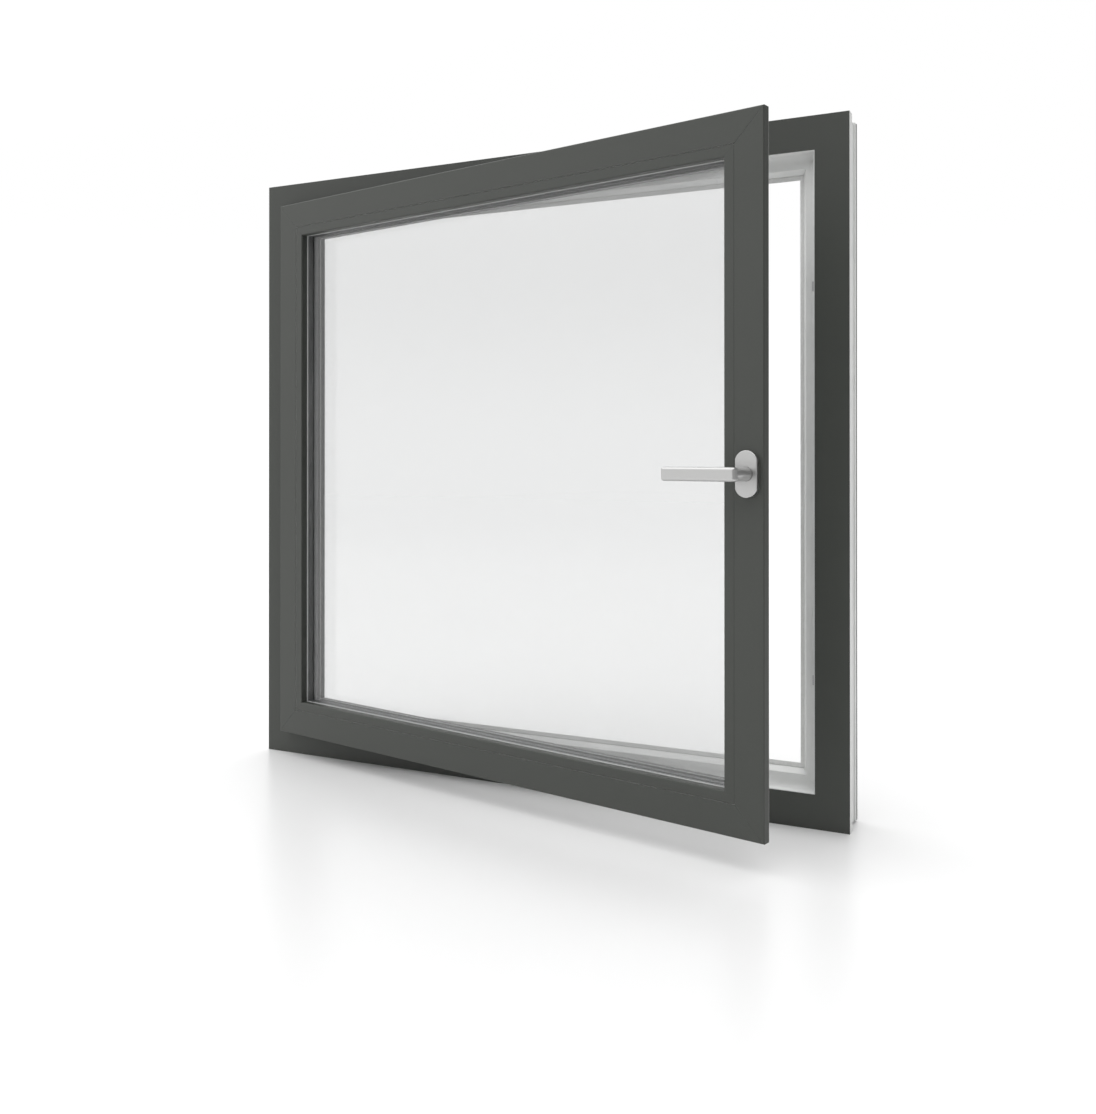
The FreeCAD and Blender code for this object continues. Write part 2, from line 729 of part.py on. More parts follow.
def gearbox_cover():
    plate = box((case_x, case_back - case_wall, case_low), (groove_x - 0.3, case_back, case_high))
    lug = box((groove_x - 1.0, case_back - case_wall, lug_low), (lug_end, case_back, lug_high))
    return plate.fuse(lug).removeSplitter()


hub_bore = rod(hub_radius + 0.05, (gear_x, 0.0, handle_height), (0, 1, 0), 80.0)
pocket_end = sash_width - overlap_width + 1.0
pocket_low = (case_x - 0.3, case_front - 0.3, case_low - 0.3)
case_pocket = box(pocket_low, (pocket_end, case_back + 0.3, case_high + 0.3))
spindle_hole = rod(8.0, (gear_x, -1.0, handle_height), (0, 1, 0), 30.0)

# ---- Handle ---------------------------------------------------------------------------------------
spindle_half = spindle_side / 2.0


def handle_lever():
    """Flat lever with rounded edges on a round neck. At rest it points to the hinge side."""
    high_x = gear_x + neck_radius
    grip = box((high_x - lever_length, -handle_reach, handle_height - lever_height / 2.0),
               (high_x, -handle_reach + lever_depth, handle_height + lever_height / 2.0))
    grip = grip.makeFillet(4.0, grip.Edges)
    neck = rod(neck_radius, (gear_x, -handle_reach + 6.0, handle_height), (0, 1, 0), handle_reach - 6.0 - 4.4)
    body = grip.fuse(neck)
    half = spindle_half + 0.02
    socket = box((gear_x - half, -45.0, handle_height - half), (gear_x + half, 10.0, handle_height + half))
    return body.cut(socket).removeSplitter().Solids[0]


spindle_low = (gear_x - spindle_half, -44.0, handle_height - spindle_half)
spindle = box(spindle_low, (gear_x + spindle_half, case_back - 1.0, handle_height + spindle_half))


def oval(half_width, straight, half_height, low, high):
    """Plate with straight sides and flatter-than-round ends, between two depths."""
    def at(x, z):
        return Vector(gear_x + x, low, handle_height + z)

    edges = [
        Part.makeLine(at(half_width, -straight), at(half_width, straight)),
        Part.Arc(at(half_width, straight), at(0, half_height), at(-half_width, straight)).toShape(),
        Part.makeLine(at(-half_width, straight), at(-half_width, -straight)),
        Part.Arc(at(-half_width, -straight), at(0, -half_height), at(half_width, -straight)).toShape(),
    ]
    return Part.Face(Part.Wire(edges)).extrude(Vector(0, high - low, 0))


def rosette_cover():
    """Metal cover pressed over the base; its front edge is rounded."""
    shell = oval(rosette_half_width, rosette_straight, rosette_half_height, -rosette_depth, 0.0)
    front = [edge for edge in shell.Edges if abs(edge.BoundBox.YMax + rosette_depth) < 1e-6]
    shell = shell.makeFillet(1.0, front)
    wall = 1.6
    inner_width = rosette_half_width - wall
    inner_height = rosette_half_height - wall
    hollow = oval(inner_width, rosette_straight, inner_height, -rosette_depth + 1.8, 1.0)
    hole = rod(neck_radius + 0.35, (gear_x, -20.0, handle_height), (0, 1, 0), 40.0)
    return shell.cut(hollow).cut(hole).Solids[0]


def rosette_base():
    plate = oval(rosette_half_width - 1.8, rosette_straight, rosette_half_height - 1.8, -4.0, 0.0)
    return plate.cut(rod(6.5, (gear_x, -20.0, handle_height), (0, 1, 0), 40.0)).Solids[0]


rosette_screw_heights = [handle_height - rosette_screw_offset, handle_height + rosette_screw_offset]
rosette_screws = [screw((gear_x, -4.0, z), (0, 1, 0), 31.0, 2.4, 4.2, 2.0) for z in rosette_screw_heights]


# ---- Keeps and drainage ---------------------------------------------------------------------------
def keep(middle, locked):
    """Keep for a bottom member: a base strip and a hook wall beside the cam's locked place."""
    floor = rebate_floor
    base = box((middle - 26.0, 4.6, floor), (middle + 26.0, 16.8, floor + 1.6))
    wall = box((locked - 9.0, 5.0, floor), (locked + 7.0, 7.2, floor + keep_hook))
    return base.fuse(wall).removeSplitter().Solids[0]


def keep_screws(middle):
    seat = rebate_floor + 1.6
    return [screw((middle + offset, 12.0, seat), (0, 0, -1), 14.0, 1.8, 2.8, 1.0) for offset in (-21.5, 21.5)]


def keep_places():
    """(side, unlocked, locked) along each member, measured in the member's own length direction."""
    places = []
    for x in cam_lengths:
        places.append(("bottom", sash_inset + x, sash_inset + x - travel))
        places.append(("top", frame_width - sash_inset - x, frame_width - sash_inset - x - travel))
    for z in cam_heights:
        places.append(("lock", sash_inset + z, sash_inset + z - travel))
    return places


keeps = []
keep_fixings = []
for side, free, locked in keep_places():
    middle = (free + locked) / 2.0
    keeps.append(onto_side(keep(middle, locked), side, frame_width, frame_height))
    keep_fixings += [onto_side(piece, side, frame_width, frame_height) for piece in keep_screws(middle)]


def drain_cap(x):
    """Cap over a drainage slot in the outside of the sill: a rounded shell with a mouth at the bottom."""
    back = frame_depth
    shell = box((x - 22.0, back, 22.0), (x + 22.0, back + 7.0, 36.0))
    outer = [edge for edge in shell.Edges if edge.BoundBox.YMax > back + 6.9]
    shell = shell.makeFillet(2.5, outer)
    hollow = box((x - 20.0, back - 1.0, 19.0), (x + 20.0, back + 5.0, 34.0))
    rib = box((x - 16.0, back, 31.2), (x + 16.0, back + 0.5, 33.9))
    return shell.cut(hollow).fuse(rib).removeSplitter().Solids[0]


drain_places = [frame_width * 0.25, frame_width * 0.75]
drain_slots = [box((x - 15.0, 66.0, 25.0), (x + 15.0, 90.0, 30.0)) for x in drain_places]

# ---- Holes that the fixings need ------------------------------------------------------------------
anchor_heights = [anchor_end_distance, frame_height - anchor_end_distance]
clear = 5.0
anchor_length = clear + anchor_reach
anchor_holes = []
for z in anchor_heights:
    anchor_holes.append(rod(anchor_radius, (-clear, anchor_depth, z), (1, 0, 0), anchor_length))
    anchor_holes.append(rod(anchor_radius, (frame_width + clear, anchor_depth, z), (-1, 0, 0), anchor_length))

frame_tools = keep_fixings + hinge_bracket_screws + anchor_holes
gear_fixings = plate_screws()
steel_tools = gear_fixings + hinge_knuckle_screws + hinge_pockets + rosette_screws + [spindle_hole]
sash_tools = steel_tools + [case_pocket]
foil_tools = hinge_pockets + rosette_screws + mitre_grooves + [spindle_hole]
plate_tools = gear_fixings + cam_slots + [hub_window, spindle_sweep]

# ---- Writing the nodes ----------------------------------------------------------------------------
frame_names = {
    "bottom": "frame_sill", "lock": "frame_lock_jamb", "top": "frame_head", "hinge": "frame_hinge_jamb",
}
sash_names = {
    "bottom": "sash_bottom_rail", "lock": "sash_lock_stile",
    "top": "sash_top_rail", "hinge": "sash_hinge_stile",
}
bead_names = {
    "bottom": "glazing_bead_bottom", "lock": "glazing_bead_lock_side",
    "top": "glazing_bead_top", "hinge": "glazing_bead_hinge_side",
}

for side in sides:
    member_tools = frame_tools + (drain_slots if side == "bottom" else [])
    save(frame_names[side], [bored(frame_members[side], member_tools)], in_frame)
    save(sash_names[side], [bored(sash_members[side], sash_tools)], in_sash)
    save(bead_names[side], [beads[side]], in_sash)

save("frame_decor_foil", list(frame_foils.values()), in_frame)
save("frame_reinforcements", [bored(piece, frame_tools) for piece in frame_steels.values()], in_frame)
save("frame_seal", list(frame_seals.values()), in_frame)
save("frame_cladding", [bored(piece, drain_slots) for piece in frame_clads.values()], in_frame)
save("drain_caps", [drain_cap(x) for x in drain_places], in_frame)
save("keeps", [bored(piece, keep_fixings) for piece in keeps], in_frame)
save("keep_screws", keep_fixings, in_frame)
save("lower_hinge_bracket", [bored(hinge_brackets[0], hinge_bracket_screws)], in_frame)
save("upper_hinge_bracket", [bored(hinge_brackets[1], hinge_bracket_screws)], in_frame)
save("hinge_pins", hinge_pins, in_frame)
save("hinge_bracket_screws", hinge_bracket_screws, in_frame)

save("sash_decor_foil", [bored(piece, foil_tools) for piece in sash_foils.values()], in_sash)
save("sash_reinforcements", [bored(piece, steel_tools) for piece in sash_steels.values()], in_sash)
save("sash_cladding", list(sash_clads.values()), in_sash)


def split_by_pockets(seal):
    """The overlap seal stops at the hinges, so the hinge side has a long middle length and two ends."""
    pieces = seal
    for pocket in hinge_pockets:
        pieces = pieces.cut(pocket)
    return pieces.Solids


overlap_pieces = [piece for seal in overlap_seals.values() for piece in split_by_pockets(seal)]
save("overlap_seal", overlap_pieces, in_sash)
save("bead_seal", list(bead_seals.values()), in_sash)
save("outer_glazing_seal", list(outer_seals.values()), in_sash)
for name, depth in zip(["inner_pane", "middle_pane", "outer_pane"], pane_depths):
    save(name, [pane(depth)], in_sash)
for name, depth in zip(["inner_spacer_bars", "outer_spacer_bars"], cavity_depths):
    save(name, spacer_ring(depth), in_sash)
save("edge_sealant", sealant_ring(cavity_depths[0]) + sealant_ring(cavity_depths[1]), in_sash)
save("glazing_blocks", glazing_blocks(), in_sash)
save("lower_sash_hinge", [bored(hinge_knuckles[0], hinge_knuckle_screws)], in_sash)
save("upper_sash_hinge", [bored(hinge_knuckles[1], hinge_knuckle_screws)], in_sash)
save("sash_hinge_screws", hinge_knuckle_screws, in_sash)
save("lock_side_faceplate", [bored(lock_plate, plate_tools)], in_sash)
save("top_faceplate", [bored(top_plate, plate_tools)], in_sash)
save("bottom_faceplate", [bored(bottom_plate, plate_tools)], in_sash)
save("corner_drives", [bored(piece, gear_fixings) for piece in corner_drives], in_sash)
save("faceplate_screws", gear_fixings, in_sash)
save("gearbox_case", [bored(gearbox_case(), [hub_bore] + rosette_screws + gear_fixings)], in_sash)
save("gearbox_cover", [bored(gearbox_cover(), [hub_bore] + gear_fixings)], in_sash)
save("rosette_base", [bored(rosette_base(), rosette_screws)], in_sash)
save("rosette_cover", [rosette_cover()], in_sash)
save("rosette_screws", rosette_screws, in_sash)

save("handle_lever", [handle_lever()], in_sash)
save("handle_spindle", [spindle], in_sash)
save("drive_pinion", [drive_pinion()], in_sash)
save("lock_side_drive_rod", [bored(lock_side_rod(), rod_screw_slots())], in_sash)
save("lock_side_cams", lock_cams, in_sash)
save("top_drive_rod", [bored(top_rod, rod_screw_slots())], in_sash)
save("top_cams", top_cams, in_sash)
save("bottom_drive_rod", [bored(bottom_rod, rod_screw_slots())], in_sash)
save("bottom_cams", bottom_cams, in_sash)
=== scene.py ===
"""Side-hung casement window: finishes, gaskets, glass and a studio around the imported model.

Each sub-assembly of the window is a class that builds its own pieces and dresses the nodes it owns.
Everything is in metres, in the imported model's frame: +X to the lock side, +Y to the outside, +Z up.
"""
import logging
import math
from collections.abc import Iterable
from dataclasses import dataclass, field
from enum import Enum

import bmesh
import bpy
from mathutils import Matrix, Vector


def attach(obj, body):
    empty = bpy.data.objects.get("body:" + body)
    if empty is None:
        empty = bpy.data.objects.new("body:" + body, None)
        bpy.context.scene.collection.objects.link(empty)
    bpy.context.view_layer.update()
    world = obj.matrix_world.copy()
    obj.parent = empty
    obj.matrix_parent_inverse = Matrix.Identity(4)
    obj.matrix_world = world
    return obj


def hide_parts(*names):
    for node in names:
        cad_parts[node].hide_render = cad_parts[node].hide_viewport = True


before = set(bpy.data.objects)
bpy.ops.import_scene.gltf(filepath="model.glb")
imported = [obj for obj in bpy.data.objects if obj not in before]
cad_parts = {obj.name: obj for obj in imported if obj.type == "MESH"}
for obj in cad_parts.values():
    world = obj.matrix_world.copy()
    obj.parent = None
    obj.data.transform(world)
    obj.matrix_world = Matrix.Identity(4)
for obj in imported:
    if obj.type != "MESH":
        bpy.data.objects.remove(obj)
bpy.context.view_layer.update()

LOG = logging.getLogger("casement")

MIX_FIRST, MIX_SECOND, MIX_COLOUR = 6, 7, 2     # a Mix node's colour inputs and output
DEEP_FOIL, LIGHT_FOIL = (0.037, 0.0402, 0.0352), (0.0522, 0.0565, 0.0498)
SASH_OPEN = 11.85                               # degrees that the sash stands open at rest

Colour = tuple[float, float, float]
Section = list[tuple[float, float]]


class Body(Enum):
    """The moving bodies that new pieces ride on."""

    SASH = "sash"


class Slot(Enum):
    """The record's material slots for the finishes of new pieces."""

    LIGHT_SEAL = "light_seal"


# ---- Finishes -------------------------------------------------------------------------------------
class NodeBench:
    """A material under construction, with short calls for the nodes that the finishes share."""

    def __init__(self, name: str) -> None:
        """Start an empty material with one Principled surface.

        Args:
            name: the material's name.
        """
        self.material = bpy.data.materials.new(name)
        self.material.use_nodes = True
        self.tree = self.material.node_tree
        self.tree.nodes.clear()
        self.surface = self.add("ShaderNodeBsdfPrincipled")
        self.output = self.add("ShaderNodeOutputMaterial")
        self.join(self.surface, "BSDF", self.output, "Surface")
        self.place = self.add("ShaderNodeTexCoord").outputs["Object"]

    def add(self, kind: str, **settings: object) -> bpy.types.Node:
        """Add a node.

        Args:
            kind: the node's type name.
            settings: properties set on it.

        Returns:
            The new node.
        """
        node = self.tree.nodes.new(kind)
        for key, value in settings.items():
            setattr(node, key, value)
        return node

    def join(self, source: bpy.types.Node, out: str, target: bpy.types.Node, into: str) -> None:
        """Link one node's output to another's input, both by name."""
        self.tree.links.new(source.outputs[out], target.inputs[into])

    def stretched(self, scale: Colour, turn: float = 0.0) -> bpy.types.NodeSocket:
        """Object coordinates turned about Z and stretched.

        Args:
            scale: factor along each axis, after the turn.
            turn: degrees about Z.

        Returns:
            The vector socket.
        """
        turned = self.add("ShaderNodeMapping", vector_type="TEXTURE")
        turned.inputs["Rotation"].default_value = (0.0, 0.0, math.radians(turn))
        self.tree.links.new(self.place, turned.inputs["Vector"])
        mapping = self.add("ShaderNodeMapping")
        mapping.inputs["Scale"].default_value = scale
        self.join(turned, "Vector", mapping, "Vector")
        return mapping.outputs["Vector"]

    def noise(
        self, scale: float, detail: float = 2.0, at: bpy.types.NodeSocket | None = None,
    ) -> bpy.types.NodeSocket:
        """Noise over the surface.

        Args:
            scale: cells per metre.
            detail: octaves.
            at: coordinates, the object's own if left out.

        Returns:
            The factor socket.
        """
        node = self.add("ShaderNodeTexNoise")
        node.inputs["Scale"].default_value = scale
        node.inputs["Detail"].default_value = detail
        node.inputs["Roughness"].default_value = 0.6
        self.tree.links.new(at or self.place, node.inputs["Vector"])
        return node.outputs["Fac"]

    def spangle(self, scale: float) -> bpy.types.NodeSocket:
        """Crystals of zinc: one even value for each cell."""
        node = self.add("ShaderNodeTexVoronoi")
        node.inputs["Scale"].default_value = scale
        self.tree.links.new(self.place, node.inputs["Vector"])
        grey = self.add("ShaderNodeRGBToBW")
        self.join(node, "Color", grey, "Color")
        return grey.outputs["Val"]

    def spread(self, value: bpy.types.NodeSocket, low: float, high: float) -> bpy.types.NodeSocket:
        """Map a factor that stays near its middle onto a range.

        Args:
            value: the factor.
            low: result at the low end.
            high: result at the high end.

        Returns:
            The mapped socket.
        """
        node = self.add("ShaderNodeMapRange")
        node.inputs["From Min"].default_value = 0.3
        node.inputs["From Max"].default_value = 0.7
        node.inputs["To Min"].default_value = low
        node.inputs["To Max"].default_value = high
        self.tree.links.new(value, node.inputs["Value"])
        return node.outputs["Result"]

    def blend(self, factor: bpy.types.NodeSocket, first: Colour, second: Colour) -> bpy.types.NodeSocket:
        """Colour between two by a factor.

        Args:
            factor: 0 for the first, 1 for the second.
            first: colour at 0.
            second: colour at 1.

        Returns:
            The colour socket.
        """
        node = self.add("ShaderNodeMix", data_type="RGBA")
        node.inputs[MIX_FIRST].default_value = (*first, 1.0)
        node.inputs[MIX_SECOND].default_value = (*second, 1.0)
        self.tree.links.new(factor, node.inputs["Factor"])
        return node.outputs[MIX_COLOUR]

    def painted_edge_highlight(
        self, colour: bpy.types.NodeSocket, edge: Colour, radius: float, share: float,
    ) -> bpy.types.NodeSocket:
        """Paint a highlight along sharp edges: lighten a colour there, broken up by noise.

        Args:
            colour: the colour on the flats.
            edge: the colour of the painted highlight at the edge.
            radius: how far in from an edge the painted highlight reaches, in metres.
            share: how strong it is at most.

        Returns:
            The colour socket.
        """
        bevel = self.add("ShaderNodeBevel", samples=4)
        bevel.inputs["Radius"].default_value = radius
        geometry = self.add("ShaderNodeNewGeometry")
        turn = self.add("ShaderNodeVectorMath", operation="DOT_PRODUCT")
        self.join(bevel, "Normal", turn, "Vector")
        self.tree.links.new(geometry.outputs["True Normal"], turn.inputs[1])
        amount = self.add("ShaderNodeMapRange")
        amount.inputs["From Min"].default_value = 0.995
        amount.inputs["From Max"].default_value = 0.75
        amount.inputs["To Max"].default_value = share
        self.join(turn, "Value", amount, "Value")
        broken = self.add("ShaderNodeMath", operation="MULTIPLY")
        self.join(amount, "Result", broken, "Value")
        self.tree.links.new(self.spread(self.noise(180.0), 0.35, 1.0), broken.inputs[1])
        mix = self.add("ShaderNodeMix", data_type="RGBA")
        self.join(broken, "Value", mix, "Factor")
        self.tree.links.new(colour, mix.inputs[MIX_FIRST])
        mix.inputs[MIX_SECOND].default_value = (*edge, 1.0)
        return mix.outputs[MIX_COLOUR]

    def colour(self, socket: bpy.types.NodeSocket) -> None:
        """Give the surface its colour."""
        self.tree.links.new(socket, self.surface.inputs["Base Color"])

    def roughness(self, socket: bpy.types.NodeSocket) -> None:
        """Give the surface its roughness."""
        self.tree.links.new(socket, self.surface.inputs["Roughness"])

    def relief(self, height: bpy.types.NodeSocket, depth: float, strength: float = 1.0) -> None:
        """Raise the surface by a height.

        Args:
            height: factor from 0 to 1.
            depth: metres from the lowest to the highest.
            strength: share of the relief that shows.
        """
        node = self.add("ShaderNodeBump")
        node.inputs["Strength"].default_value = strength
        node.inputs["Distance"].default_value = depth
        self.tree.links.new(height, node.inputs["Height"])
        self.join(node, "Normal", self.surface, "Normal")


@dataclass(frozen=True)
class FoilFinish:
    """Dark laminated foil with a fine pressed grain and tiny lighter flecks."""

    name: str
    deep: Colour
    light: Colour
    edge: Colour
    roughness: tuple[float, float] = (0.42, 0.56)
    grain_scale: float = 900.0
    grain_depth: float = 0.00009

    def make(self) -> bpy.types.Material:
        """Build the material."""
        bench = NodeBench(self.name)
        grain = bench.noise(self.grain_scale, 3.0)
        cloud = bench.noise(9.0, 2.0)
        tone = bench.add("ShaderNodeMath", operation="MULTIPLY_ADD")
        bench.tree.links.new(cloud, tone.inputs[0])
        tone.inputs[1].default_value = 0.25
        bench.tree.links.new(bench.spread(grain, 0.0, 0.75), tone.inputs[2])
        colour = bench.blend(tone.outputs["Value"], self.deep, self.light)
        # Painted highlight: the foil colour is lightened along sharp edges.
        bench.colour(bench.painted_edge_highlight(colour, self.edge, 0.0008, 0.35))
        bench.roughness(bench.spread(grain, *self.roughness))
        bench.relief(grain, self.grain_depth, 0.5)
        bench.surface.inputs["IOR"].default_value = 1.5
        return bench.material


@dataclass(frozen=True)
class PlasticFinish:
    """Extruded window plastic: smooth and satin, with faint drawing lines and slight shade changes."""

    name: str
    shade: Colour
    tint: Colour
    roughness: tuple[float, float] = (0.3, 0.42)
    line_depth: float = 0.00002

    def make(self) -> bpy.types.Material:
        """Build the material."""
        bench = NodeBench(self.name)
        cloud = bench.noise(14.0, 3.0)
        fine = bench.noise(700.0, 2.0)
        colour = bench.blend(bench.spread(cloud, 0.0, 1.0), self.shade, self.tint)
        # Painted highlight: the plastic colour is lightened along sharp edges.
        bench.colour(bench.painted_edge_highlight(colour, self.tint, 0.0006, 0.3))
        bench.roughness(bench.spread(fine, *self.roughness))
        bench.relief(fine, self.line_depth, 0.35)
        return bench.material


@dataclass(frozen=True)
class RubberFinish:
    """Gasket rubber: matt, slightly mottled, with a dusty sheen."""

    name: str
    shade: Colour
    bloom: Colour
    sheen: float = 0.15

    def make(self) -> bpy.types.Material:
        """Build the material."""
        bench = NodeBench(self.name)
        mottle = bench.noise(260.0, 3.0)
        bench.colour(bench.blend(bench.spread(mottle, 0.0, 1.0), self.shade, self.bloom))
        bench.roughness(bench.spread(mottle, 0.55, 0.72))
        bench.relief(mottle, 0.00005, 0.4)
        bench.surface.inputs["Sheen Weight"].default_value = self.sheen
        return bench.material


@dataclass(frozen=True)
class PowderCoatFinish:
    """Powder-coated aluminium with a fine orange-peel surface."""

    name: str
    shade: Colour
    light: Colour
    edge: Colour

    def make(self) -> bpy.types.Material:
        """Build the material."""
        bench = NodeBench(self.name)
        peel = bench.noise(520.0, 1.0)
        cloud = bench.noise(7.0, 2.0)
        colour = bench.blend(bench.spread(cloud, 0.0, 1.0), self.shade, self.light)
        # Painted highlight: the coating colour is lightened along sharp edges.
        bench.colour(bench.painted_edge_highlight(colour, self.edge, 0.0007, 0.4))
        bench.roughness(bench.spread(peel, 0.36, 0.5))
        bench.relief(peel, 0.00008, 0.5)
        return bench.material


@dataclass(frozen=True)
class SatinMetalFinish:
    """Satin anodised aluminium: blasted matt, with a faint brushed direction and a painted highlight along its
    edges.
    """

    name: str
    shade: Colour
    light: Colour
    roughness: tuple[float, float] = (0.3, 0.38)
    turn: float = 0.0

    def make(self) -> bpy.types.Material:
        """Build the material."""
        bench = NodeBench(self.name)
        brushed = bench.noise(1.0, 3.0, bench.stretched((60.0, 1600.0, 1600.0), self.turn))
        blasted = bench.noise(1800.0, 2.0)
        colour = bench.blend(bench.spread(blasted, 0.0, 1.0), self.shade, self.light)
        # Painted highlight: the metal colour is lightened along sharp edges.
        bench.colour(bench.painted_edge_highlight(colour, self.light, 0.001, 0.5))
        bench.roughness(bench.spread(brushed, *self.roughness))
        bench.relief(blasted, 0.00002, 0.35)
        bench.surface.inputs["Metallic"].default_value = 1.0
        return bench.material


@dataclass(frozen=True)
class SteelFinish:
    """Zinc-plated or galvanised steel, with crystals or a fine rolled grain and a painted highlight along its
    edges.
    """

    name: str
    shade: Colour
    light: Colour
    crystal_scale: float
    roughness: tuple[float, float]

    def make(self) -> bpy.types.Material:
        """Build the material."""
        bench = NodeBench(self.name)
        crystals = bench.spangle(self.crystal_scale)
        colour = bench.blend(crystals, self.shade, self.light)
        # Painted highlight: the steel colour is lightened along sharp edges.
        bench.colour(bench.painted_edge_highlight(colour, self.light, 0.0006, 0.6))
        bench.roughness(bench.spread(crystals, *self.roughness))
        bench.relief(bench.noise(900.0), 0.00002, 0.3)
        bench.surface.inputs["Metallic"].default_value = 1.0
        return bench.material


@dataclass(frozen=True)
class GlassFinish:
    """Clear float glass with a slight grey tint that varies a little. Lamps shine through it."""

    name: str
    tint: Colour
    shadow: Colour

    def make(self) -> bpy.types.Material:
        """Build the material."""
        bench = NodeBench(self.name)
        clearer = tuple(value + 0.003 for value in self.tint)
        bench.colour(bench.blend(bench.noise(1.5, 1.0), self.tint, clearer))
        bench.surface.inputs["Transmission Weight"].default_value = 1.0
        bench.surface.inputs["Roughness"].default_value = 0.0
        bench.surface.inputs["IOR"].default_value = 1.5
        lamp_side = bench.add("ShaderNodeBsdfTransparent")
        lamp_side.inputs["Color"].default_value = (*self.shadow, 1.0)
        path = bench.add("ShaderNodeLightPath")
        mix = bench.add("ShaderNodeMixShader")
        bench.join(path, "Is Shadow Ray", mix, "Fac")
        bench.tree.links.new(bench.surface.outputs["BSDF"], mix.inputs[1])
        bench.tree.links.new(lamp_side.outputs["BSDF"], mix.inputs[2])
        bench.join(mix, "Shader", bench.output, "Surface")
        return bench.material


@dataclass
class Finishes:
    """Every finish of the window, made once and shared."""

    foil: FoilFinish = FoilFinish("dark_foil", DEEP_FOIL, LIGHT_FOIL, (0.1, 0.105, 0.1))
    bead: FoilFinish = FoilFinish("dark_foil_bead", DEEP_FOIL, LIGHT_FOIL, (0.09, 0.095, 0.09))
    white: PlasticFinish = PlasticFinish("white_plastic", (0.70, 0.71, 0.70), (0.76, 0.765, 0.755))
    base: PlasticFinish = PlasticFinish("rosette_base_plastic", (0.3, 0.3, 0.3), (0.34, 0.34, 0.34))
    packer: PlasticFinish = PlasticFinish("packer_plastic", (0.10, 0.14, 0.20), (0.12, 0.17, 0.24))
    seal: RubberFinish = RubberFinish("light_gasket", (0.46, 0.465, 0.46), (0.54, 0.545, 0.54))
    # The same gasket rubber painted paler: painted light, making up for the light that the frame seal's sideways
    # face misses.
    lit_seal: RubberFinish = RubberFinish("lit_gasket", (0.66, 0.665, 0.655), (0.73, 0.735, 0.725))
    sealant: RubberFinish = RubberFinish("black_sealant", (0.016, 0.016, 0.017), (0.03, 0.03, 0.031), 0.0)
    spacer: PlasticFinish = PlasticFinish("grey_spacer", (0.20, 0.205, 0.205), (0.26, 0.265, 0.265), (0.38, 0.5))
    clad: PowderCoatFinish = PowderCoatFinish(
        "dark_cladding", (0.05, 0.0525, 0.0495), (0.062, 0.065, 0.061), (0.13, 0.135, 0.13),
    )
    satin: SatinMetalFinish = SatinMetalFinish(
        "satin_aluminium", (0.48, 0.48, 0.476), (0.535, 0.535, 0.53), turn=-SASH_OPEN,
    )
    galvanised: SteelFinish = SteelFinish(
        "galvanised_steel", (0.42, 0.43, 0.44), (0.58, 0.59, 0.6), 160.0, (0.35, 0.5),
    )
    gear: SteelFinish = SteelFinish("gear_steel", (0.5, 0.5, 0.51), (0.6, 0.6, 0.61), 900.0, (0.28, 0.4))
    screw: SteelFinish = SteelFinish(
        "screw_steel", (0.52, 0.52, 0.53), (0.66, 0.66, 0.67), 1300.0, (0.22, 0.34),
    )
    glass: GlassFinish = GlassFinish("pane_glass", (0.906, 0.908, 0.908), (0.9, 0.902, 0.902))
    made: dict[str, bpy.types.Material] = field(default_factory=dict)

    def of(self, finish: object) -> bpy.types.Material:
        """The material of a finish, built the first time it is asked for.

        Args:
            finish: one of the finishes above.

        Returns:
            Its material.
        """
        if finish.name not in self.made:
            self.made[finish.name] = finish.make()
        return self.made[finish.name]


# ---- Making pieces --------------------------------------------------------------------------------
@dataclass(frozen=True)
class SashPlace:
    """Where the sash stands: the ring corner of the closed sash, its pivot and how far it is open."""

    corner: Vector = field(default_factory=lambda: Vector((-0.5525, -0.031, 0.0475)))
    pivot: Vector = field(default_factory=lambda: Vector((0.0085, 0.0085, 0.0)))
    open_degrees: float = SASH_OPEN
    width: float = 1.105
    height: float = 1.08

    def matrix(self) -> Matrix:
        """The matrix from the sash ring's corner to the model's frame."""
        hinge = Matrix.Translation(self.corner + self.pivot)
        turn = Matrix.Rotation(-math.radians(self.open_degrees), 4, "Z")
        return hinge @ turn @ Matrix.Translation(-self.pivot)


